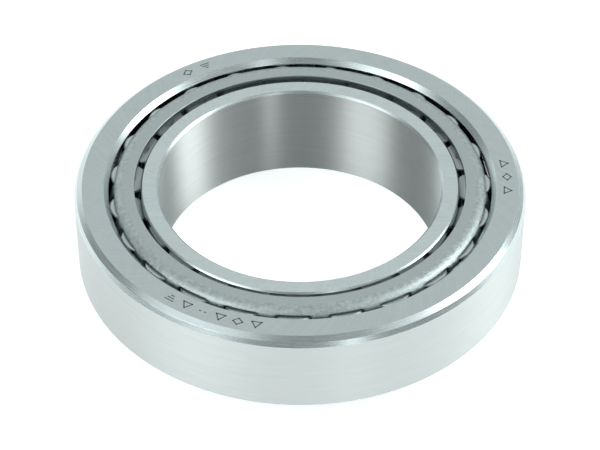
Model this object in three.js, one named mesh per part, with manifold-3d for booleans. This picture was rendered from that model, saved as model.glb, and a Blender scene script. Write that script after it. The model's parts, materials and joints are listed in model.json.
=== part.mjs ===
import * as THREE from 'three';
import { mergeVertices } from 'three/addons/utils/BufferGeometryUtils.js';
import Module from 'manifold-3d';

// A single-row tapered roller bearing, in millimetres, +Z up. It stands on the back face of its
// inner ring, with the bearing's axis on Z. The inner ring (cone) carries tapered rollers between
// two ribs, a pressed-steel cage spaces them, and the outer ring (cup) rests on them, free to
// lift off upwards. The narrow ends of the rollers point up.

const wasm = await Module();
wasm.setup();

// ---- Driving dimensions ----

// Rings
const boreDiameter = 50;
const bearingWidth = 20;
const contactAngle = 15.75;      // degrees, between the outer raceway and the axis
const coneSetback = 0.4;         // the inner ring's front face, below the outer ring's back face
const coneWall = 1.92;           // under the narrow end of the inner raceway
const smallRibWidth = 2.2;
const smallRibHeight = 1.28;
const largeRibWidth = 3.75;
const largeRibHeight = 3.1;
const coneGrooveWidth = 0.8;     // grinding grooves beside the two ribs
const coneGrooveDepth = 0.3;
const coneFrontChamfer = 0.4;    // at the small end of the bore
const coneBackChamfer = 1;       // at the large end, which clears a shaft's fillet
const smallRibChamfer = 0.3;
const largeRibChamfer = 0.7;
const cupSetback = 4.5;          // the outer ring's front face, above the inner ring's back face
const cupFrontWall = 2.002;      // the outer ring's thin end, which makes it 80 across
const cupFrontChamfer = 0.3;
const cupThroatRadial = 0.85;    // bevel from the back face down to the raceway
const cupThroatAxial = 0.93;
const cupCornerRadial = 1.45;    // turned corner on the outside, by the back face
const cupCornerAxial = 1.55;
const cupEdgeRadial = 0.5;       // where the corner's two bevels meet
const cupEdgeAxial = 0.7;

// Rollers
const rollerCount = 23;
const rollerGap = 1.043;         // between neighbours' narrow ends, before their clearance
const rollerEndPlay = 0.3;       // between the narrow end and the small rib
const rollerRibPlay = 0.12;      // between the wide end and the large rib, which is hollow to it
const rollerClearance = 0.06;    // between a roller and each raceway
const rollerCorner = 0.5;
const firstRollerAngle = 2;      // degrees from +X

// Cage
const cageThickness = 0.8;
const cageBendRadius = 2.3;      // outside, from the flange to the shell
const cageRaceGap = 0.75;        // from the cage to the outer raceway, squarely across
const cageRibGap = 1.15;         // from the inner ring's small rib to the flange
const cageFlangeGap = 0.3;       // from the rollers up to the flange
const cageBendDrop = 0.4;        // how far the bend draws the sheet in by the rollers' narrow ends
const cageRingWidth = 2.5;       // below the pockets
const pocketSideClearance = 0.2;
const pocketEndClearance = 0.3;

// ---- Facets ----

const segmentsPerRoller = 4;
const ringSegments = rollerCount * segmentsPerRoller;
const rollerSegments = 20;
const shoulderSteps = 4;

// ---- Rolling geometry ----
// Both raceways and all rollers are cones about one apex on the axis, so that the rollers roll
// without slip. The rollers' half-angle depends on itself through their distance from the apex,
// and settles within a few steps.

const alpha = THREE.MathUtils.degToRad(contactAngle);
const halfPitch = Math.PI / rollerCount;
const smallRaceRadius = boreDiameter / 2 + coneWall;
const coneFrontZ = bearingWidth - coneSetback;
const smallRaceZ = coneFrontZ - smallRibWidth - rollerEndPlay;

const narrowEndDistance = (beta) => smallRaceRadius * Math.cos(beta) / Math.sin(alpha - 2 * beta);

let rollerHalfAngle = 0;
const settlingSteps = 20;
for (let step = 0; step < settlingSteps; step += 1) {
  const halfGap = rollerGap / 2 / narrowEndDistance(rollerHalfAngle);
  rollerHalfAngle = Math.atan(Math.sin(alpha - rollerHalfAngle) * Math.sin(halfPitch) - halfGap);
}
const rollerTilt = alpha - rollerHalfAngle;
const innerRaceAngle = alpha - 2 * rollerHalfAngle;
const apexZ = smallRaceZ + smallRaceRadius / Math.tan(innerRaceAngle);

// Distances from the apex along a roller's axis
const narrowEnd = narrowEndDistance(rollerHalfAngle);
const ribFace = (apexZ - largeRibWidth) * Math.cos(rollerHalfAngle) / Math.cos(innerRaceAngle);
const wideEnd = ribFace - rollerRibPlay;
const rollerLength = wideEnd - narrowEnd;
const narrowRadius = narrowEnd * Math.tan(rollerHalfAngle) - rollerClearance;
const wideRadius = wideEnd * Math.tan(rollerHalfAngle) - rollerClearance;

const outerRace = (z) => (apexZ - z) * Math.tan(alpha);
const innerRace = (z) => (apexZ - z) * Math.tan(innerRaceAngle);

// The middle of a roller's narrow end
const narrowCentre = new THREE.Vector2(
  narrowEnd * Math.sin(rollerTilt),
  apexZ - narrowEnd * Math.cos(rollerTilt),
);

// ---- Helpers ----

// A solid of revolution about Z, from a closed outline of [radius, z] points or from one that
// starts and ends on the axis.
function revolve(outline, segments) {
  const points = outline.map(([radius, z]) => new THREE.Vector2(radius, z));
  const geometry = new THREE.LatheGeometry(points, segments);
  geometry.rotateX(Math.PI / 2);
  return geometry;
}

// Points of an arc about a centre of [radius, z], from one angle to another in degrees.
function arc(centre, size, from, to, steps) {
  const points = [];
  for (let step = 0; step <= steps; step += 1) {
    const angle = THREE.MathUtils.degToRad(from + (to - from) * step / steps);
    points.push([centre[0] + size * Math.cos(angle), centre[1] + size * Math.sin(angle)]);
  }
  return points;
}

function toSolid(geometry) {
  const bare = geometry.clone();
  bare.deleteAttribute('normal');
  bare.deleteAttribute('uv');
  const merged = mergeVertices(bare, 1e-4);
  return new wasm.Manifold(new wasm.Mesh({
    numProp: 3,
    vertProperties: new Float32Array(merged.attributes.position.array),
    triVerts: new Uint32Array(merged.index.array),
  }));
}

function toGeometry(solid) {
  const mesh = solid.getMesh();
  const geometry = new THREE.BufferGeometry();
  geometry.setAttribute('position', new THREE.BufferAttribute(mesh.vertProperties, 3));
  geometry.setIndex(new THREE.BufferAttribute(mesh.triVerts, 1));
  geometry.computeVertexNormals();
  return geometry;
}

function steel(colour, roughness) {
  return new THREE.MeshStandardMaterial({ color: colour, roughness, metalness: 1 });
}

// The frame of one roller: origin at its narrow end, Z up along its axis, X squarely outwards.
function rollerFrame(index) {
  const turn = THREE.MathUtils.degToRad(firstRollerAngle) + 2 * halfPitch * index;
  const lean = new THREE.Matrix4().makeRotationY(-rollerTilt);
  const place = new THREE.Matrix4().makeTranslation(narrowCentre.x, 0, narrowCentre.y);
  return new THREE.Matrix4().makeRotationZ(turn).multiply(place).multiply(lean);
}

// ---- Outer ring: thick at the back face on top, thin at the front face ----

function makeOuterRing() {
  const front = cupSetback;
  const back = bearingWidth;
  const throatZ = back - cupThroatAxial;
  const outside = outerRace(front) + cupFrontWall;
  const lipZ = front + cupFrontChamfer;
  const outline = [
    [outerRace(lipZ), lipZ],
    [outerRace(lipZ) + cupFrontChamfer, front],
    [outside - cupFrontChamfer, front],
    [outside, lipZ],
    [outside, back - cupCornerAxial],
    [outside - cupEdgeRadial, back - cupEdgeAxial],
    [outside - cupCornerRadial, back],
    [outerRace(throatZ) + cupThroatRadial, back],
    [outerRace(throatZ), throatZ],
  ];
  outline.push(outline[0]);
  const ring = new THREE.Mesh(revolve(outline, ringSegments), steel(0xb6bab8, 0.3));
  ring.name = 'outer_ring_cup';
  return ring;
}

// ---- Inner ring: raceway between a large rib at the back face and a small rib on top ----

function makeInnerRing() {
  const bore = boreDiameter / 2;
  const smallRibZ = coneFrontZ - smallRibWidth;
  const smallRibRadius = smallRaceRadius + smallRibHeight;
  const ribRoot = innerRace(largeRibWidth);
  const largeRibRadius = ribRoot + largeRibHeight;

  // The ribs' inner faces lean as the rollers' ends do.
  const ribLean = Math.tan(rollerTilt);
  const smallRibEdgeZ = smallRibZ + (smallRibRadius - innerRace(smallRibZ)) * ribLean;
  const largeRibEdgeZ = largeRibWidth + largeRibHeight * ribLean;
  const grooveTopZ = smallRibZ - coneGrooveWidth;
  const grooveFootZ = largeRibWidth + coneGrooveWidth;
  const outline = [
    [bore, coneBackChamfer],
    [bore + coneBackChamfer, 0],
    [largeRibRadius - largeRibChamfer, 0],
    [largeRibRadius, largeRibChamfer],
    [largeRibRadius, largeRibEdgeZ],
    [ribRoot, largeRibWidth],
    [ribRoot - coneGrooveDepth, grooveFootZ - coneGrooveWidth / 2],
    [innerRace(grooveFootZ), grooveFootZ],
    [innerRace(grooveTopZ), grooveTopZ],
    [innerRace(smallRibZ) - coneGrooveDepth, smallRibZ],
    [smallRibRadius, smallRibEdgeZ],
    [smallRibRadius, coneFrontZ - smallRibChamfer],
    [smallRibRadius - smallRibChamfer, coneFrontZ],
    [bore + coneFrontChamfer, coneFrontZ],
    [bore, coneFrontZ - coneFrontChamfer],
  ];
  outline.push(outline[0]);
  const ring = new THREE.Mesh(revolve(outline, ringSegments), steel(0xb0b4b2, 0.28));
  ring.name = 'inner_ring_cone';
  return ring;
}

// ---- Rollers ----

function makeRoller(index) {
  const taper = rollerCorner * Math.tan(rollerHalfAngle);
  const outline = [
    [0, -rollerLength],
    [wideRadius - rollerCorner, -rollerLength],
    [wideRadius - taper, rollerCorner - rollerLength],
    [narrowRadius + taper, -rollerCorner],
    [narrowRadius - rollerCorner, 0],
    [0, 0],
  ];
  const roller = new THREE.Mesh(revolve(outline, rollerSegments), steel(0xc6cac8, 0.18));
  roller.name = `roller_${String(index + 1).padStart(2, '0')}`;
  roller.applyMatrix4(rollerFrame(index));
  return roller;
}

// ---- Cage: a pressed cone with one pocket for each roller and an inward flange on top ----

// Half the width that a pocket needs where the sheet's inner side crosses a roller of this radius
function pocketHalfWidth(radius, depth) {
  return Math.sqrt(2 * radius * depth - depth * depth) + pocketSideClearance;
}

function makePocketCutter(index) {
  const low = -rollerLength - pocketEndClearance;
  const high = pocketEndClearance;
  const depth = cageRaceGap + cageThickness;
  const lowHalf = pocketHalfWidth(wideRadius, depth);
  const highHalf = pocketHalfWidth(narrowRadius, depth + cageBendDrop);
  const shape = new THREE.Shape([
    new THREE.Vector2(-lowHalf, low),
    new THREE.Vector2(lowHalf, low),
    new THREE.Vector2(highHalf, high),
    new THREE.Vector2(-highHalf, high),
  ]);
  const reach = 2 * wideRadius;
  const cutter = new THREE.ExtrudeGeometry(shape, { depth: reach, bevelEnabled: false });
  const across = new THREE.Vector3(0, 1, 0);
  const along = new THREE.Vector3(0, 0, 1);
  const outwards = new THREE.Vector3(1, 0, 0);
  cutter.applyMatrix4(new THREE.Matrix4().makeBasis(across, along, outwards));
  cutter.applyMatrix4(rollerFrame(index));
  return cutter;
}

function makeCage() {
  const shellGap = cageRaceGap / Math.cos(alpha);
  const shellWall = cageThickness / Math.cos(alpha);
  const shellOuter = (z) => outerRace(z) - shellGap;
  const rollerTopZ = narrowCentre.y + narrowRadius * Math.sin(rollerTilt);
  const flangeFootZ = rollerTopZ + cageFlangeGap;
  const flangeTopZ = flangeFootZ + cageThickness;
  const flangeEdge = smallRaceRadius + smallRibHeight + cageRibGap;

  // The flange turns into the shell round a shoulder, whose arcs touch both of them.
  const bend = cageBendRadius;
  const shoulderZ = flangeTopZ - bend;
  const shoulder = [shellOuter(shoulderZ) - bend / Math.cos(alpha), shoulderZ];

  // Where the pockets' lower ends meet the outside of the shell
  const pocketReach = rollerLength + pocketEndClearance;
  const pocketFootZ = narrowCentre.y - pocketReach * Math.cos(rollerTilt)
    + (wideRadius - cageRaceGap) * Math.sin(rollerTilt);
  const rimZ = pocketFootZ - cageRingWidth;
  const outline = [
    [shellOuter(rimZ) - shellWall, rimZ],
    [shellOuter(rimZ), rimZ],
    ...arc(shoulder, bend, contactAngle, 90, shoulderSteps),
    [flangeEdge, flangeTopZ],
    [flangeEdge, flangeFootZ],
    ...arc(shoulder, bend - cageThickness, 90, contactAngle, shoulderSteps),
  ];
  outline.push(outline[0]);

  let solid = toSolid(revolve(outline, ringSegments));
  for (let index = 0; index < rollerCount; index += 1) {
    solid = solid.subtract(toSolid(makePocketCutter(index)));
  }
  const cage = new THREE.Mesh(toGeometry(solid), steel(0x8f9492, 0.45));
  cage.name = 'roller_cage';
  return cage;
}

// ---- Assembly ----

const bearing = new THREE.Group();
bearing.name = 'tapered_roller_bearing';
bearing.add(makeInnerRing());
bearing.add(makeOuterRing());
bearing.add(makeCage());
for (let index = 0; index < rollerCount; index += 1) {
  bearing.add(makeRoller(index));
}

export default bearing;
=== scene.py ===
"""Dresses a tapered roller bearing: ground rings, polished rollers and a tumbled steel cage,
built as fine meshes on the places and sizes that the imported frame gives, in a soft white studio."""

import json
import math

import bpy
from bpy.props import FloatProperty, FloatVectorProperty, IntProperty, PointerProperty
from mathutils import Matrix, Vector


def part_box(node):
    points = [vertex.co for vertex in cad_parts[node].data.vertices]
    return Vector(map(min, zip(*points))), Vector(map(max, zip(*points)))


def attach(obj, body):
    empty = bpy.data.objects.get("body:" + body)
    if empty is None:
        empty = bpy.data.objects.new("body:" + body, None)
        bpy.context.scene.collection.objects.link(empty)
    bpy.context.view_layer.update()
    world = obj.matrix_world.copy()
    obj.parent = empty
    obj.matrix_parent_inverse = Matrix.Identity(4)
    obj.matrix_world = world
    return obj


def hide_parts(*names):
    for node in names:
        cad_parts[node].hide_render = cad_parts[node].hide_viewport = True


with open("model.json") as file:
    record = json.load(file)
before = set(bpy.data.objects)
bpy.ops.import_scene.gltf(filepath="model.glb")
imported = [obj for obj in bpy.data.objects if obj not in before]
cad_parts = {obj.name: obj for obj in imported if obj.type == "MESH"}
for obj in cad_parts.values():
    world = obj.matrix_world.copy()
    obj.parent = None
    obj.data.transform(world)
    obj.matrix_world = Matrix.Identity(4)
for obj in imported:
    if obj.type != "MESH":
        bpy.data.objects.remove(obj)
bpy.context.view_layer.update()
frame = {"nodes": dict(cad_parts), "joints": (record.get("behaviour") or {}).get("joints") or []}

bl_info = {
    "name": "Tapered Roller Bearing",
    "version": (1, 0, 0),
    "blender": (4, 5, 0),
    "location": "View3D > Sidebar > Bearing",
    "description": "Builds the rings, rollers and cage of a tapered roller bearing",
    "category": "Add Mesh",
}

OUTER_RING = "outer_ring_cup"
INNER_RING = "inner_ring_cone"
CAGE = "roller_cage"
ROLLERS = sorted(n for n in frame["nodes"] if n.startswith("roller_") and n != CAGE)
MM = 0.001


# ---- What the frame says ----

def radii(node):
    """Least and greatest distance of a ring's solid from the bearing's axis."""
    found = [math.hypot(v.co.x, v.co.y) for v in frame["nodes"][node].data.vertices]
    return min(found), max(found)


def spin_joint(roller):
    return next(joint for joint in frame["joints"] if joint["child"] == roller)


class RollingFit:
    """The cones that the rollers and raceways share, measured on the first roller."""

    def __init__(self):
        joint = spin_joint(ROLLERS[0])
        end, axis = Vector(joint["pos_m"]), Vector(joint["axis"]).normalized()
        offsets = [v.co - end for v in frame["nodes"][ROLLERS[0]].data.vertices]
        depths = [-offset.dot(axis) for offset in offsets]
        widths = [(offset + axis * depth).length for offset, depth in zip(offsets, depths)]
        stations = list(zip(widths, depths))
        self.length = max(depths)
        narrow, narrow_depth = max(s for s in stations if s[1] < self.length / 2)
        wide, wide_depth = max(s for s in stations if s[1] > self.length / 2)
        self.taper = math.atan((wide - narrow) / (wide_depth - narrow_depth))
        self.narrow = narrow - narrow_depth * math.tan(self.taper)
        self.wide = self.narrow + self.length * math.tan(self.taper)
        self.tilt = math.acos(axis.z)
        self.end_radius = math.hypot(end.x, end.y)
        self.end_height = end.z
        self.first_angle = math.atan2(end.y, end.x)
        self.apex = end.z + self.end_radius / math.tan(self.tilt)
        self.outer_angle = self.tilt + self.taper
        self.inner_angle = self.tilt - self.taper

    def outer_race(self, height):
        return (self.apex - height) * math.tan(self.outer_angle)

    def inner_race(self, height):
        return (self.apex - height) * math.tan(self.inner_angle)

    def depth_on(self, point):
        """How far below the rollers' narrow ends a point lies, along a roller."""
        across = (point.x - self.end_radius) * math.sin(self.tilt)
        return across - (point.y - self.end_height) * math.cos(self.tilt)

    def height_on(self, point):
        """How far outside the rollers' axes a point lies, squarely from them."""
        across = (point.x - self.end_radius) * math.cos(self.tilt)
        return across + (point.y - self.end_height) * math.sin(self.tilt)


FIT = RollingFit()
OUTER_LOW, OUTER_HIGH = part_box(OUTER_RING)
INNER_LOW, INNER_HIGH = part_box(INNER_RING)
CAGE_LOW, CAGE_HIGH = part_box(CAGE)
BORE_RADIUS, LARGE_RIB_RADIUS = radii(INNER_RING)
OUTSIDE_RADIUS = radii(OUTER_RING)[1]
FLANGE_EDGE = radii(CAGE)[0]


# ---- Sizes and colours ----

def length(name, description, millimetres):
    return FloatProperty(name=name, description=description, default=millimetres * MM,
                         min=0, unit="LENGTH", precision=5)


def angle(name, description, degrees):
    return FloatProperty(name=name, description=description, default=math.radians(degrees),
                         unit="ROTATION")


def colour(name, description, value):
    return FloatVectorProperty(name=name, description=description, default=value, size=3,
                               min=0, max=1, subtype="COLOR")


def roughness(name, description, value):
    return FloatProperty(name=name, description=description, default=value, min=0, max=1,
                         subtype="FACTOR")


class RingSizes(bpy.types.PropertyGroup):
    edge: length("Edge", "Fillet on the rings' sharp edges", 0.12)
    fine_edge: length("Fine edge", "Fillet where a turned bevel meets a ground face", 0.05)
    corner_radial: length("Corner, across", "Width of the outer ring's turned corner", 1.45)
    corner_axial: length("Corner, along", "Height of the outer ring's turned corner", 1.55)
    corner_edge_radial: length("Corner edge, across", "Where the corner's two bevels meet", 0.5)
    corner_edge_axial: length("Corner edge, along", "Where the corner's two bevels meet", 0.7)
    throat_radial: length("Throat, across", "Width of the bevel above the outer raceway", 0.85)
    throat_axial: length("Throat, along", "Height of the bevel above the outer raceway", 0.93)
    front_break: length("Front break", "Bevels on the outer ring's thin end", 0.3)
    bore_front_chamfer: length("Front chamfer", "Chamfer at the small end of the bore", 0.4)
    bore_back_chamfer: length("Back chamfer", "Chamfer at the large end of the bore", 1.0)
    small_rib_width: length("Small rib width", "Width of the inner ring's small rib", 2.2)
    small_rib_height: length("Small rib height", "Small rib above the narrow raceway", 1.35)
    small_rib_chamfer: length("Small rib chamfer", "Bevel round the inner ring's top", 0.3)
    large_rib_width: length("Large rib width", "Width of the inner ring's large rib", 3.75)
    large_rib_chamfer: length("Large rib chamfer", "Bevel round the inner ring's foot", 0.7)
    groove_width: length("Groove width", "Grinding grooves beside the ribs", 0.8)
    groove_depth: length("Groove depth", "Grinding grooves beside the ribs", 0.3)
    segments: IntProperty(name="Segments", description="Facets round each ring", default=368,
                          min=24)


class RollerSizes(bpy.types.PropertyGroup):
    corner: length("Corner", "Rounded edges of a roller's ends", 0.45)
    dish_radius: length("Dish radius", "Shallow recess in each end", 1.1)
    dish_depth: length("Dish depth", "Shallow recess in each end", 0.1)
    segments: IntProperty(name="Segments", description="Facets round each roller", default=64,
                          min=12)


class CageSizes(bpy.types.PropertyGroup):
    thickness: length("Sheet", "Thickness of the pressed sheet", 0.8)
    race_gap: length("Race gap", "Space from the cage to the outer raceway", 0.75)
    bend: length("Bend", "Outer radius between the flange and the shell", 2.3)
    side_clearance: length("Side clearance", "From a roller to a pocket's side", 0.2)
    end_clearance: length("End clearance", "From a roller to a pocket's end", 0.22)
    pocket_corner: length("Pocket corner", "Radius of the pockets' corners", 0.55)
    edge: length("Edge", "Tumbled edges of the sheet", 0.13)


class SteelFinishes(bpy.types.PropertyGroup):
    ring: colour("Ring steel", "Ground bearing steel", (0.55, 0.62, 0.625))
    worn: colour("Handled steel", "The inner ring's ground face", (0.63, 0.71, 0.715))
    bore: colour("Bore steel", "Ground steel in the bore", (0.73, 0.77, 0.765))
    seat: colour("Seat steel", "Ground steel outside", (0.575, 0.62, 0.617))
    roller: colour("Roller steel", "Superfinished bearing steel", (0.63, 0.68, 0.685))
    cage: colour("Cage steel", "Pressed and tumbled sheet steel", (0.47, 0.535, 0.535))
    mark: colour("Etching", "Dark oxide of the etched marks", (0.05, 0.055, 0.055))
    face_roughness: roughness("Face roughness", "Ground end faces", 0.34)
    seat_roughness: roughness("Seat roughness", "Ground outside", 0.42)
    bore_roughness: roughness("Bore roughness", "Ground bore", 0.5)
    bevel_roughness: roughness("Bevel roughness", "Turned corners and chamfers", 0.27)
    end_roughness: roughness("End roughness", "Ground ends of the rollers", 0.5)
    roller_roughness: roughness("Roller roughness", "Rollers and raceways", 0.16)
    cage_roughness: roughness("Cage roughness", "Flange of the cage", 0.38)
    shell_roughness: roughness("Shell roughness", "Tumbled bend and shell of the cage", 0.45)


class StudioSettings(bpy.types.PropertyGroup):
    elevation: angle("Elevation", "Camera above the horizon", 42.475)
    roll: angle("Roll", "Camera's turn about its own line of sight", 0.107)
    distance: FloatProperty(name="Distance", description="Camera to the bearing",
                            default=0.4192, unit="LENGTH")
    lens: FloatProperty(name="Lens", description="Focal length in millimetres", default=140.3)
    aim_height: length("Aim height", "Middle of the bearing", 12)
    aim_drop: length("Aim drop", "How far under it the camera points", 2.05)
    floor_glow: FloatProperty(name="Floor glow", description="Light of the table's own",
                              default=0.62, min=0)
    dome: FloatProperty(name="Dome", description="Dim light from all round", default=0.34,
                        min=0)


# ---- Meshes ----

FILLET_STEPS = 4
FILLET_SHARE = 0.45       # the most of a side that a fillet at one of its ends may take
ON_AXIS = 1e-9


def rounded(corners):
    """Points of an outline whose corners are (radius, height, fillet, finish of the next side)."""
    points = []
    for index, (radius, height, fillet, finish) in enumerate(corners):
        here = Vector((radius, height))
        back = Vector(corners[index - 1][:2]) - here
        ahead = Vector(corners[(index + 1) % len(corners)][:2]) - here
        if fillet <= 0:
            points.append((here, finish))
            continue
        half = back.angle(ahead) / 2
        longest = FILLET_SHARE * min(back.length, ahead.length)
        reach = min(fillet / math.tan(half), longest)
        middle = (back.normalized() + ahead.normalized()).normalized()
        centre = here + middle * (reach / math.cos(half))
        start = here + back.normalized() * reach - centre
        end = here + ahead.normalized() * reach - centre
        sweep = start.angle_signed(end)
        for step in range(FILLET_STEPS + 1):
            turned = start.copy()
            turned.rotate(Matrix.Rotation(-sweep * step / FILLET_STEPS, 2))
            points.append((centre + turned, finish))
    return points


def revolve(name, points, segments, closed, finishes):
    """A solid of revolution about Z. An open outline starts and ends on the axis."""
    vertices, rows = [], []
    for (radius, height), _finish in points:
        if radius < ON_AXIS:
            rows.append([len(vertices)] * segments)
            vertices.append((0, 0, height))
            continue
        rows.append(list(range(len(vertices), len(vertices) + segments)))
        for k in range(segments):
            turn = 2 * math.pi * k / segments
            vertices.append((radius * math.cos(turn), radius * math.sin(turn), height))
    faces, slots = [], []
    order = list(finishes)
    last = len(points) if closed else len(points) - 1
    for i in range(last):
        lower, upper = rows[i], rows[(i + 1) % len(points)]
        for k in range(segments):
            after = (k + 1) % segments
            ring = (lower[k], lower[after], upper[after], upper[k])
            faces.append(tuple(dict.fromkeys(ring)))
            slots.append(order.index(points[i][1]))
    return new_piece(name, vertices, faces, slots, [finishes[key] for key in order])


def new_piece(name, vertices, faces, slots, materials):
    """A smooth mesh object, with the number of its material for each face."""
    mesh = bpy.data.meshes.new(name)
    mesh.from_pydata(vertices, [], faces)
    for material in materials:
        mesh.materials.append(material)
    mesh.polygons.foreach_set("material_index", slots)
    mesh.polygons.foreach_set("use_smooth", [True] * len(faces))
    mesh.update()
    piece = bpy.data.objects.new(name, mesh)
    bpy.context.scene.collection.objects.link(piece)
    return piece


def weigh_normals(piece):
    """Keeps flat faces flat beside their small fillets."""
    modifier = piece.modifiers.new("flat_faces", "WEIGHTED_NORMAL")
    modifier.keep_sharp = True


def flat_disc(name, radius, sides, height, material):
    rim = []
    for k in range(sides):
        turn = 2 * math.pi * k / sides
        rim.append((radius * math.cos(turn), radius * math.sin(turn), 0))
    disc = new_piece(name, rim, [tuple(range(sides))], [0], [material])
    disc.location.z = height
    return disc


def stand_for(piece, node, body):
    """Puts a fine piece on a body in place of the frame's node."""
    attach(piece, body)
    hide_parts(node)


# ---- Materials ----

SWIRL_LENGTH = 180        # noise cells for each metre along a stroke

# Noise cells for each metre along X, Y and Z
ROUND_LINES = (150, 150, 7000)
ROUND_PASSES = (60, 60, 900)
TURNED_LINES = (200, 200, 9000)
POLISHED_LINES = (500, 500, 5000)
SCRATCHES = (260, 2600, 800)

# The part of a grain's values that each of these follows
GLOSS_SPAN = (0.25, 0.75)
TONE_SPAN = (0.32, 0.68)

# A Mix node's sockets for colours
MIX_FIRST, MIX_SECOND, MIX_RESULT = 6, 7, 2


class Graph:
    """Adds and joins the nodes of one tree."""

    def __init__(self, tree):
        self.tree = tree
        tree.nodes.clear()

    def node(self, kind, inputs=None, **settings):
        made = self.tree.nodes.new(kind)
        for key, value in settings.items():
            setattr(made, key, value)
        for key, value in (inputs or {}).items():
            self.feed(made, key, value)
        return made

    def feed(self, node, socket, value):
        if isinstance(value, bpy.types.NodeSocket):
            self.tree.links.new(value, node.inputs[socket])
        else:
            node.inputs[socket].default_value = value

    def math(self, operation, *values):
        made = self.node("ShaderNodeMath", operation=operation)
        for index, value in enumerate(values):
            self.feed(made, index, value)
        return made.outputs[0]

    def remap(self, value, low, high, to_low, to_high, smooth=False):
        kind = "SMOOTHSTEP" if smooth else "LINEAR"
        inputs = {0: value, 1: low, 2: high, 3: to_low, 4: to_high}
        return self.node("ShaderNodeMapRange", inputs, interpolation_type=kind).outputs[0]

    def blend(self, share, dark, light):
        """A colour between two, by a share."""
        inputs = {"Factor": share, MIX_FIRST: [*dark, 1], MIX_SECOND: [*light, 1]}
        return self.node("ShaderNodeMix", inputs, data_type="RGBA").outputs[MIX_RESULT]

    def noise(self, vector, scale, detail=2.0, rough=0.5):
        inputs = {"Vector": vector, "Scale": scale, "Detail": detail, "Roughness": rough}
        return self.node("ShaderNodeTexNoise", inputs).outputs["Fac"]

    def place(self):
        return self.node("ShaderNodeTexCoord").outputs["Object"]

    def stretched(self, scale):
        return self.node("ShaderNodeMapping", {"Vector": self.place(), "Scale": scale}).outputs[0]

    def split(self, vector):
        parts = self.node("ShaderNodeSeparateXYZ", {0: vector}).outputs
        return [parts[key] for key in "XYZ"]

    def reach(self, x, y):
        """Distance from the axis."""
        squares = [self.math("MULTIPLY", value, value) for value in (x, y)]
        return self.math("SQRT", self.math("ADD", *squares))

    def swirl(self, slope, density):
        """Strokes that cross a flat face at a slant, without a seam."""
        x, y, _z = self.split(self.place())
        radius = self.reach(x, y)
        turn = self.math("ADD", self.math("ARCTAN2", y, x), self.math("MULTIPLY", radius, slope))
        inputs = {
            "X": self.math("MULTIPLY", self.math("COSINE", turn), density),
            "Y": self.math("MULTIPLY", self.math("SINE", turn), density),
            "Z": self.math("MULTIPLY", radius, SWIRL_LENGTH),
        }
        return self.node("ShaderNodeCombineXYZ", inputs).outputs[0]

    def shade(self, inputs):
        """Ends a material in one principled shader."""
        shader = self.node("ShaderNodeBsdfPrincipled", inputs)
        self.node("ShaderNodeOutputMaterial", {"Surface": shader.outputs[0]})


def new_material(name):
    material = bpy.data.materials.new(name)
    material.use_nodes = True
    return material, Graph(material.node_tree)


def steel(name, base, rough, grain, rough_swing, bump, bump_depth=2e-6, anisotropy=0.0,
          tone_swing=0.05):
    """Bare steel whose tone, gloss and relief follow one grain, made once for each name."""
    if name in bpy.data.materials:
        return bpy.data.materials[name]
    material, graph = new_material(name)
    lay = grain(graph)
    dark = [c * (1 - tone_swing) for c in base]
    light = [min(1, c * (1 + tone_swing)) for c in base]
    gloss = graph.remap(lay, *GLOSS_SPAN, rough - rough_swing, rough + rough_swing)
    relief = graph.node("ShaderNodeBump", {"Height": lay, "Strength": bump,
                                           "Distance": bump_depth})
    inputs = {
        "Base Color": graph.blend(graph.remap(lay, *TONE_SPAN, 0, 1), dark, light),
        "Metallic": 1.0,
        "Roughness": gloss,
        "Normal": relief.outputs[0],
    }
    if anisotropy:
        inputs["Anisotropic"] = anisotropy
        inputs["Anisotropic Rotation"] = 0.25
        inputs["Tangent"] = graph.node("ShaderNodeTangent", direction_type="RADIAL",
                                       axis="Z").outputs[0]
    graph.shade(inputs)
    return material


def both(graph, first, second, share):
    """Two grains laid over each other, with the first one's share."""
    return graph.math("ADD", graph.math("MULTIPLY", first, share),
                      graph.math("MULTIPLY", second, 1 - share))


def ground_face_grain(graph):
    """Crossed strokes of a rotary grinder."""
    one = graph.noise(graph.swirl(22, 90), 1.0, 3)
    other = graph.noise(graph.swirl(-30, 120), 1.0, 2)
    return both(graph, one, other, 0.6)


def worn_face_grain(graph):
    """Ground strokes with short scratches from handling laid over them."""
    cuts = graph.noise(graph.stretched(SCRATCHES), 1.0, 4, 0.6)
    return both(graph, ground_face_grain(graph), cuts, 0.62)


def ground_seat_grain(graph):
    """Fine lines round a ground cylinder, in passes that differ a little."""
    lines = graph.noise(graph.stretched(ROUND_LINES), 1.0, 3)
    passes = graph.noise(graph.stretched(ROUND_PASSES), 1.0, 1)
    return both(graph, lines, passes, 0.7)


def turned_grain(graph):
    return graph.noise(graph.stretched(TURNED_LINES), 1.0, 2)


def polished_grain(graph):
    return graph.noise(graph.stretched(POLISHED_LINES), 1.0, 2)


def tumbled_grain(graph):
    """Mottled dents and pits of tumbled sheet."""
    coarse = graph.noise(graph.place(), 1400, 3, 0.6)
    fine = graph.noise(graph.place(), 4200, 2, 0.6)
    return both(graph, coarse, fine, 0.6)


def satin_grain(graph):
    return graph.noise(graph.place(), 2600, 3)


def ring_finishes(finish):
    """The steels of both rings, by the names that their outlines use."""
    return {
        "face": steel("ground_face", finish.ring, finish.face_roughness, ground_face_grain,
                      0.05, 0.3, tone_swing=0.06),
        "worn": steel("worn_face", finish.worn, finish.face_roughness, worn_face_grain,
                      0.07, 0.4, tone_swing=0.11),
        "seat": steel("ground_seat", finish.seat, finish.seat_roughness, ground_seat_grain,
                      0.04, 0.2, anisotropy=0.85),
        "bore": steel("ground_bore", finish.bore, finish.bore_roughness, ground_seat_grain,
                      0.03, 0.2, anisotropy=1.0),
        "bevel": steel("turned_bevel", finish.ring, finish.bevel_roughness, turned_grain,
                       0.03, 0.1),
        "race": steel("honed_race", finish.ring, finish.roller_roughness, polished_grain,
                      0.02, 0.05),
    }


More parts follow.
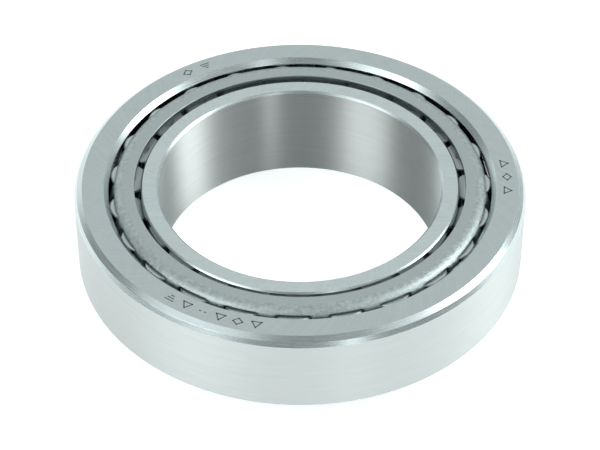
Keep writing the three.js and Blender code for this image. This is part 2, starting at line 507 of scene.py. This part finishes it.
# ---- Outer ring ----

def outer_ring_outline(size):
    front, back = OUTER_LOW.z, OUTER_HIGH.z
    lip, throat = front + size.front_break, back - size.throat_axial
    outside = OUTSIDE_RADIUS
    corner_edge = (outside - size.corner_edge_radial, back - size.corner_edge_axial)
    return [
        (FIT.outer_race(lip), lip, size.fine_edge, "bevel"),
        (FIT.outer_race(lip) + size.front_break, front, size.fine_edge, "face"),
        (outside - size.front_break, front, size.fine_edge, "bevel"),
        (outside, lip, size.fine_edge, "seat"),
        (outside, back - size.corner_axial, size.edge, "bevel"),
        (*corner_edge, size.edge, "bevel"),
        (outside - size.corner_radial, back, size.edge, "face"),
        (FIT.outer_race(throat) + size.throat_radial, back, size.edge, "bevel"),
        (FIT.outer_race(throat), throat, size.edge, "race"),
    ]


class BEARING_OT_outer_ring(bpy.types.Operator):
    """Build the outer ring with its conical raceway"""
    bl_idname = "bearing.outer_ring"
    bl_label = "Outer Ring"

    def execute(self, context):
        size, finish = context.scene.bearing_rings, context.scene.bearing_finish
        points = rounded(outer_ring_outline(size))
        piece = revolve("outer_ring", points, size.segments, True, ring_finishes(finish))
        weigh_normals(piece)
        stand_for(piece, OUTER_RING, "outer_ring")
        return {"FINISHED"}


# ---- Etched marks ----

MARK_RADIUS = 36.7 * MM
MARK_HALF = 0.74 * MM
MARK_STROKE = 0.24 * MM
MARK_STAND = 0.004 * MM
MARK_SINK = 0.02 * MM
ETCHING_SWING = 4         # how many times paler the palest oxide is than the darkest

# Strokes of each mark, as points of (across, outwards) in half heights
DIAMOND = [[(-1.15, 0), (0, -1), (1.15, 0), (0, 1), (-1.15, 0)]]
WEDGE = [[(-1.15, -0.85), (1.15, -0.85), (0, 0.95), (-1.15, -0.85)]]
STEPS = [[(-1.1, 0.75), (1.1, 0.75)], [(-0.75, 0), (0.75, 0)], [(-0.35, -0.75), (0.35, -0.75)]]
TWIN_DOTS = [[(-0.75, 0), (-0.45, 0)], [(0.45, 0), (0.75, 0)]]

# Where each run of marks starts round the ring, the step to the next in degrees, and its marks
MARK_RUNS = [
    (233.9, 4.95, [STEPS, WEDGE, TWIN_DOTS, WEDGE, DIAMOND, WEDGE]),
    (356.0, 5.6, [WEDGE, DIAMOND, WEDGE]),
    (118.8, 6.0, [STEPS, DIAMOND]),
]


def stroke_prism(start, end, vertices, faces):
    """One straight etched stroke, as a thin plate let into the face."""
    along = (end - start).normalized()
    side = Vector((-along.y, along.x, 0)) * (MARK_STROKE / 2)
    tip = along * (MARK_STROKE / 2)
    base = len(vertices)
    for height in (-MARK_SINK, MARK_STAND):
        lift = Vector((0, 0, height))
        for corner in (start - tip - side, end + tip - side, end + tip + side,
                       start - tip + side):
            vertices.append(corner + lift)
    box = [(3, 2, 1, 0), (4, 5, 6, 7), (0, 1, 5, 4), (1, 2, 6, 5), (2, 3, 7, 6), (3, 0, 4, 7)]
    faces.extend(tuple(base + i for i in face) for face in box)


def mark_strokes():
    """The strokes of every mark, each run set round the ring's face."""
    vertices, faces = [], []
    for start, step, run in MARK_RUNS:
        for index, mark in enumerate(run):
            turn = math.radians(start + step * index)
            out = Vector((math.cos(turn), math.sin(turn), 0))
            across = Vector((-out.y, out.x, 0))
            centre = out * MARK_RADIUS + Vector((0, 0, OUTER_HIGH.z))
            for line in mark:
                dots = [centre + (across * x + out * y) * MARK_HALF for x, y in line]
                for first, second in zip(dots, dots[1:]):
                    stroke_prism(first, second, vertices, faces)
    return vertices, faces


def etching_material(finish):
    material, graph = new_material("etched_oxide")
    speckle = graph.noise(graph.place(), 6000, 2)
    light = [ETCHING_SWING * c for c in finish.mark]
    graph.shade({
        "Base Color": graph.blend(speckle, finish.mark, light),
        "Metallic": 0.0,
        "Roughness": graph.remap(speckle, 0.3, 0.7, 0.55, 0.8),
    })
    return material


class BEARING_OT_marks(bpy.types.Operator):
    """Etch plain marks into the outer ring's face"""
    bl_idname = "bearing.marks"
    bl_label = "Etched Marks"

    def execute(self, context):
        vertices, faces = mark_strokes()
        material = etching_material(context.scene.bearing_finish)
        piece = new_piece("etched_marks", vertices, faces, [0] * len(faces), [material])
        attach(piece, "outer_ring")
        return {"FINISHED"}


# ---- Inner ring ----

def inner_ring_outline(size):
    foot, top = INNER_LOW.z, INNER_HIGH.z
    bore = BORE_RADIUS
    front, back = size.bore_front_chamfer, size.bore_back_chamfer
    lean = math.tan(FIT.tilt)
    small_z, large_z = top - size.small_rib_width, foot + size.large_rib_width
    small_rib = FIT.inner_race(small_z) + size.small_rib_height
    large_root = FIT.inner_race(large_z)
    large_edge = large_z + (LARGE_RIB_RADIUS - large_root) * lean
    small_edge = small_z + size.small_rib_height * lean
    groove, deep = size.groove_width, size.groove_depth
    return [
        (bore, foot + back, size.edge, "bevel"),
        (bore + back, foot, size.edge, "worn"),
        (LARGE_RIB_RADIUS - size.large_rib_chamfer, foot, size.edge, "bevel"),
        (LARGE_RIB_RADIUS, foot + size.large_rib_chamfer, size.edge, "bevel"),
        (LARGE_RIB_RADIUS, large_edge, size.edge, "race"),
        (large_root + groove / 4, large_z + groove / 4 * lean, size.fine_edge, "bevel"),
        (large_root - deep, large_z, size.fine_edge, "bevel"),
        (large_root - deep, large_z + groove / 2, size.fine_edge, "bevel"),
        (FIT.inner_race(large_z + groove), large_z + groove, size.fine_edge, "race"),
        (FIT.inner_race(small_z - groove), small_z - groove, size.fine_edge, "bevel"),
        (FIT.inner_race(small_z) - deep, small_z - groove / 2, size.fine_edge, "bevel"),
        (FIT.inner_race(small_z) - deep, small_z, size.fine_edge, "bevel"),
        (small_rib, small_edge, size.edge, "bevel"),
        (small_rib, top - size.small_rib_chamfer, size.edge, "bevel"),
        (small_rib - size.small_rib_chamfer, top, size.fine_edge, "worn"),
        (bore + front, top, size.fine_edge, "bevel"),
        (bore, top - front, size.fine_edge, "bore"),
    ]


class BEARING_OT_inner_ring(bpy.types.Operator):
    """Build the inner ring with its raceway, ribs and bore"""
    bl_idname = "bearing.inner_ring"
    bl_label = "Inner Ring"

    def execute(self, context):
        size, finish = context.scene.bearing_rings, context.scene.bearing_finish
        points = rounded(inner_ring_outline(size))
        piece = revolve("inner_ring", points, size.segments, True, ring_finishes(finish))
        weigh_normals(piece)
        stand_for(piece, INNER_RING, "inner_ring")
        return {"FINISHED"}


# ---- Rollers ----

DISH_FLOOR = 0.6          # the flat of the recess in an end, against its rim


def roller_outline(size):
    """Half section of a roller on its own axis, with its narrow end at height 0."""
    low, dish, deep = -FIT.length, size.dish_radius, size.dish_depth
    floor = DISH_FLOOR * dish
    return [
        (0, low + deep, 0, "end"),
        (floor, low + deep, dish / 4, "end"),
        (dish, low, dish / 8, "end"),
        (FIT.wide, low, size.corner, "side"),
        (FIT.narrow, 0, size.corner, "end"),
        (dish, 0, dish / 8, "end"),
        (floor, -deep, dish / 4, "end"),
        (0, -deep, 0, "end"),
    ]


def roller_place(node):
    """The roller's own frame: Z up along its axis, X squarely outwards from the bearing."""
    joint = spin_joint(node)
    end, axis = Vector(joint["pos_m"]), Vector(joint["axis"]).normalized()
    side = axis.cross(Vector((end.x, end.y, 0))).normalized()
    out = side.cross(axis)
    return Matrix.Translation(end) @ Matrix((out, side, axis)).transposed().to_4x4()


class BEARING_OT_rollers(bpy.types.Operator):
    """Build the tapered rollers, each on its own axis"""
    bl_idname = "bearing.rollers"
    bl_label = "Rollers"

    def execute(self, context):
        size, finish = context.scene.bearing_rollers, context.scene.bearing_finish
        finishes = {
            "side": steel("superfinished_side", finish.roller, finish.roller_roughness,
                          polished_grain, 0.02, 0.05),
            "end": steel("ground_end", finish.roller, finish.end_roughness, tumbled_grain,
                         0.08, 0.4, tone_swing=0.12),
        }
        points = rounded(roller_outline(size))
        for node in ROLLERS:
            piece = revolve("polished_" + node, points, size.segments, False, finishes)
            piece.matrix_world = roller_place(node)
            weigh_normals(piece)
            stand_for(piece, node, node)
        return {"FINISHED"}


# ---- Cage ----

POCKET_COLUMNS = 8
BAR_COLUMNS = 4
FLANGE_ROWS = 3
BEND_ROWS = 8
POCKET_ROWS = 10
RIM_ROWS = 3
CORNER_SHARES = (0, 0.08, 0.25, 0.5, 0.75, 1)
HALVINGS = 40             # of the search along the sheet
SHARP_TURN = math.radians(50)    # an edge of the sheet turns by more than this


class CageProfile:
    """Middle of the pressed sheet, from the flange's edge round the bend and down the shell."""

    def __init__(self, size):
        self.size = size
        self.slope = FIT.outer_angle
        self.radius = size.bend - size.thickness / 2
        centre_z = CAGE_HIGH.z - size.bend
        inset = (size.race_gap + size.bend) / math.cos(self.slope)
        self.centre = Vector((FIT.outer_race(centre_z) - inset, centre_z))
        self.flat = self.centre.x - FLANGE_EDGE
        self.bent = self.flat + self.radius * (math.pi / 2 - self.slope)
        foot = CAGE_LOW.z + size.thickness / 2 * math.sin(self.slope)
        self.end = self.bent + (self.point(self.bent).y - foot) / math.cos(self.slope)

    def point(self, along):
        """Radius and height at a distance along the sheet from the flange's edge."""
        if along < self.flat:
            return Vector((FLANGE_EDGE + along, self.centre.y + self.radius))
        turn = max(math.pi / 2 - (along - self.flat) / self.radius, self.slope)
        rounded_point = self.centre + self.radius * Vector((math.cos(turn), math.sin(turn)))
        down = Vector((math.sin(self.slope), -math.cos(self.slope)))
        return rounded_point + down * max(0, along - self.bent)

    def at_depth(self, depth):
        """The distance along the sheet that lies a given way down the rollers."""
        low, high = 0, self.end
        for _halving in range(HALVINGS):
            middle = (low + high) / 2
            if FIT.depth_on(self.point(middle)) < depth:
                low = middle
            else:
                high = middle
        return low

    def half_width(self, along):
        """Half of the opening that a roller needs in the sheet here."""
        point = self.point(along)
        depth = min(max(FIT.depth_on(point), 0), FIT.length)
        roller = FIT.narrow + depth * math.tan(FIT.taper)
        sunk = min(FIT.height_on(point) - self.size.thickness / 2, roller)
        return math.sqrt(roller ** 2 - sunk ** 2) + self.size.side_clearance


def steps(start, end, count):
    """Evenly spaced values after the start, up to the end."""
    return [start + (end - start) * k / count for k in range(1, count + 1)]


def cage_sections(size):
    """Rows of (point, half angle of the pocket, whether the pocket is open below, finish)."""
    profile = CageProfile(size)
    corner = size.pocket_corner
    top = profile.at_depth(-size.end_clearance)
    foot = profile.at_depth(FIT.length + size.end_clearance)

    def row(along, half, open_below=False, finish="shell"):
        point = profile.point(along)
        return point, math.asin(half / point.x), open_below, finish

    def pocket_row(along):
        near = max(0, min(along - top, foot - along, corner))
        cut = corner - math.sqrt(corner ** 2 - (corner - near) ** 2)
        return row(along, profile.half_width(along) - cut, along < foot)

    flange = [0] + steps(0, profile.flat, FLANGE_ROWS)[:-1]
    bend = [profile.flat] + steps(profile.flat, top, BEND_ROWS)[:-1]
    drops = [corner * share for share in CORNER_SHARES]
    pocket = [top + drop for drop in drops]
    pocket += steps(top + corner, foot - corner, POCKET_ROWS)[:-1]
    pocket += [foot - drop for drop in reversed(drops)]
    above, below = (profile.half_width(end) - corner for end in (top, foot))
    return [
        *(row(along, above, finish="flange") for along in flange),
        *(row(along, above) for along in bend),
        *(pocket_row(along) for along in pocket),
        *(row(along, below) for along in steps(foot, profile.end, RIM_ROWS)),
    ]


def cage_mesh(size, finishes):
    """The middle of the sheet, as rows round the cage with a gap in them for each roller."""
    pitch = 2 * math.pi / len(ROLLERS)
    rows = cage_sections(size)
    order = list(finishes)
    columns = POCKET_COLUMNS + BAR_COLUMNS
    vertices, faces, slots = [], [], []
    for point, half, _open, _finish in rows:
        for roller in range(len(ROLLERS)):
            middle = FIT.first_angle + pitch * roller
            turns = [middle - half + 2 * half * k / POCKET_COLUMNS
                     for k in range(POCKET_COLUMNS)]
            bar = pitch - 2 * half
            turns += [middle + half + bar * k / BAR_COLUMNS for k in range(BAR_COLUMNS)]
            vertices += [(point.x * math.cos(t), point.x * math.sin(t), point.y)
                         for t in turns]
    across = columns * len(ROLLERS)
    for i, (_point, _half, open_below, finish) in enumerate(rows[:-1]):
        upper, lower = i * across, (i + 1) * across
        for k in range(across):
            if open_below and k % columns < POCKET_COLUMNS:
                continue
            after = (k + 1) % across
            faces.append((upper + k, lower + k, lower + after, upper + after))
            slots.append(order.index(finish))
    return new_piece("pressed_cage", vertices, faces, slots,
                     [finishes[key] for key in order])


class BEARING_OT_cage(bpy.types.Operator):
    """Build the pressed cage with one pocket for each roller"""
    bl_idname = "bearing.cage"
    bl_label = "Cage"

    def execute(self, context):
        size, finish = context.scene.bearing_cage, context.scene.bearing_finish
        finishes = {
            "flange": steel("satin_flange", finish.cage, finish.cage_roughness, satin_grain,
                            0.05, 0.15),
            "shell": steel("tumbled_shell", finish.cage, finish.shell_roughness,
                           tumbled_grain, 0.12, 1.0, bump_depth=1.1e-4, tone_swing=0.26),
        }
        piece = cage_mesh(size, finishes)
        sheet = piece.modifiers.new("sheet", "SOLIDIFY")
        sheet.thickness = size.thickness
        sheet.offset = 0
        sheet.use_even_offset = True
        edges = piece.modifiers.new("tumbled_edges", "BEVEL")
        edges.width = size.edge
        edges.segments = 2
        edges.limit_method = "ANGLE"
        edges.angle_limit = SHARP_TURN
        weigh_normals(piece)
        stand_for(piece, CAGE, "cage")
        return {"FINISHED"}


# ---- Studio ----

TABLE_REACH = 6.0         # metres, far past the edges of the view
TABLE_SIDES = 64
TABLE_GAP = 0.03 * MM     # keeps the table's surface off the ring's foot
CARD_SIDES = 96
CARD_GAP = 0.3 * MM       # between the card and the bore
CARD_HEIGHT = 0.1 * MM
EDGE_FEATHER = 0.1        # of a soft box's low and high edges
SKY_TINT = (0.97, 1.0, 0.995, 1)

# Soft boxes on the dome: azimuth from +X, half width, feather, brightness, low and high edges
# as heights on a unit dome. Angles are in degrees.
SOFT_BOXES = [
    ("key on the right", 5, 6, 13, 5.8, 0.36, 0.76),
    ("top of the key", 343, 12, 22, 0.7, 0.65, 0.95),
    ("low glow on the right", 12, 5, 11, 1.4, -0.3, 0.4),
    ("fill on the left", 218, 10, 16, 4.6, 0.3, 0.58),
    ("top of the fill", 210, 20, 20, 0.9, 0.62, 0.98),
    ("screen behind", 90, 45, 22, 0.42, 0.08, 1.0),
    ("bright foot of the screen", 90, 55, 25, 0.4, -0.3, 0.05),
    ("slip behind on the left", 131, 4, 12, 0.55, -0.1, 0.4),
    ("strip in front", 293, 2, 3, 2.4, 0.0, 0.8),
]


def build_dome(settings):
    world = bpy.data.worlds.new("soft_boxes")
    world.use_nodes = True
    graph = Graph(world.node_tree)
    x, y, z = graph.split(graph.node("ShaderNodeTexCoord").outputs["Generated"])
    level = graph.reach(x, y)
    total = settings.dome
    for _place, azimuth, half, feather, bright, low, high in SOFT_BOXES:
        turn = math.radians(azimuth)
        facing = graph.math("ADD", graph.math("MULTIPLY", x, math.cos(turn)),
                            graph.math("MULTIPLY", y, math.sin(turn)))
        facing = graph.math("DIVIDE", facing, level)
        edge, core = math.cos(math.radians(half + feather)), math.cos(math.radians(half))
        sideways = graph.remap(facing, edge, core, 0, 1, smooth=True)
        rise = graph.remap(z, low - EDGE_FEATHER, low + EDGE_FEATHER, 0, 1, smooth=True)
        fall = graph.remap(z, high - EDGE_FEATHER, high + EDGE_FEATHER, 1, 0, smooth=True)
        box = graph.math("MULTIPLY", sideways, graph.math("MULTIPLY", rise, fall))
        total = graph.math("ADD", total, graph.math("MULTIPLY", box, bright))
    background = graph.node("ShaderNodeBackground", {"Color": SKY_TINT, "Strength": total})
    graph.node("ShaderNodeOutputWorld", {"Surface": background.outputs[0]})
    bpy.context.scene.world = world


def matte(name, scale, detail, dark, light, glow=0):
    """A dull, faintly mottled material, with a light of its own if it glows."""
    material, graph = new_material(name)
    grain = graph.noise(graph.place(), scale, detail)
    inputs = {"Base Color": graph.blend(grain, dark, light), "Roughness": 0.9}
    if glow:
        inputs["Emission Color"] = (1, 1, 1, 1)
        inputs["Emission Strength"] = glow
    graph.shade(inputs)
    return material


def build_table(settings):
    material = matte("white_table", 90, 3, (0.80, 0.81, 0.81), (0.82, 0.83, 0.83),
                     settings.floor_glow)
    table = flat_disc("table", TABLE_REACH, TABLE_SIDES, INNER_LOW.z - TABLE_GAP, material)


def build_bore_shade_card():
    """A grey card in the bore that only reflections see: painted shade in the bore's reflections,
    standing in for the shade that the ring casts on the table inside it, which keeps the bore's walls
    grey.
    """
    # Painted shade: a grey card, seen only in reflections, in place of the table's shaded floor
    # inside the bore
    material = matte("painted_bore_shade", 300, 2, (0.53, 0.535, 0.535), (0.57, 0.575, 0.575))
    card = flat_disc("bore_shade_card", BORE_RADIUS - CARD_GAP, CARD_SIDES, INNER_LOW.z + CARD_HEIGHT,
                     material)
    card.visible_camera = False
    card.visible_diffuse = False
    card.visible_shadow = False


def build_camera(settings):
    camera = bpy.data.objects.new("camera", bpy.data.cameras.new("camera"))
    bpy.context.scene.collection.objects.link(camera)
    camera.data.lens = settings.lens
    camera.data.clip_start = 0.01
    rise = settings.elevation
    back = Vector((0, -math.cos(rise), math.sin(rise)))
    up = Vector((0, math.sin(rise), math.cos(rise)))
    middle = Vector((0, 0, settings.aim_height))
    camera.location = middle + back * settings.distance
    sight = middle - up * settings.aim_drop - camera.location
    aim = sight.to_track_quat("-Z", "Y").to_matrix() @ Matrix.Rotation(settings.roll, 3, "Z")
    camera.rotation_euler = aim.to_euler()
    bpy.context.scene.camera = camera


class BEARING_OT_studio(bpy.types.Operator):
    """Set a white table, soft boxes and the camera"""
    bl_idname = "bearing.studio"
    bl_label = "Studio"

    def execute(self, context):
        settings = context.scene.bearing_studio
        build_camera(settings)
        build_dome(settings)
        build_table(settings)
        build_bore_shade_card()
        context.scene.view_settings.view_transform = "Standard"
        return {"FINISHED"}


# ---- Add-on ----

OPERATORS = (
    BEARING_OT_studio,
    BEARING_OT_outer_ring,
    BEARING_OT_marks,
    BEARING_OT_inner_ring,
    BEARING_OT_rollers,
    BEARING_OT_cage,
)
GROUPS = {
    "bearing_rings": RingSizes,
    "bearing_rollers": RollerSizes,
    "bearing_cage": CageSizes,
    "bearing_finish": SteelFinishes,
    "bearing_studio": StudioSettings,
}


class BEARING_PT_panel(bpy.types.Panel):
    """Sizes, finishes and build steps of the bearing"""
    bl_idname = "BEARING_PT_panel"
    bl_label = "Tapered Roller Bearing"
    bl_space_type = "VIEW_3D"
    bl_region_type = "UI"
    bl_category = "Bearing"

    def draw(self, context):
        for group in GROUPS:
            box = self.layout.box()
            settings = getattr(context.scene, group)
            for name in type(settings).__annotations__:
                box.prop(settings, name)
        for operator in OPERATORS:
            self.layout.operator(operator.bl_idname)


CLASSES = (*GROUPS.values(), *OPERATORS, BEARING_PT_panel)


def register():
    for cls in CLASSES:
        bpy.utils.register_class(cls)
    for name, group in GROUPS.items():
        setattr(bpy.types.Scene, name, PointerProperty(type=group))


def unregister():
    for name in GROUPS:
        delattr(bpy.types.Scene, name)
    for cls in reversed(CLASSES):
        bpy.utils.unregister_class(cls)


def main():
    register()
    bpy.ops.bearing.studio()
    bpy.ops.bearing.outer_ring()
    bpy.ops.bearing.marks()
    bpy.ops.bearing.inner_ring()
    bpy.ops.bearing.rollers()
    bpy.ops.bearing.cage()


if __name__ == "__main__":
    main()
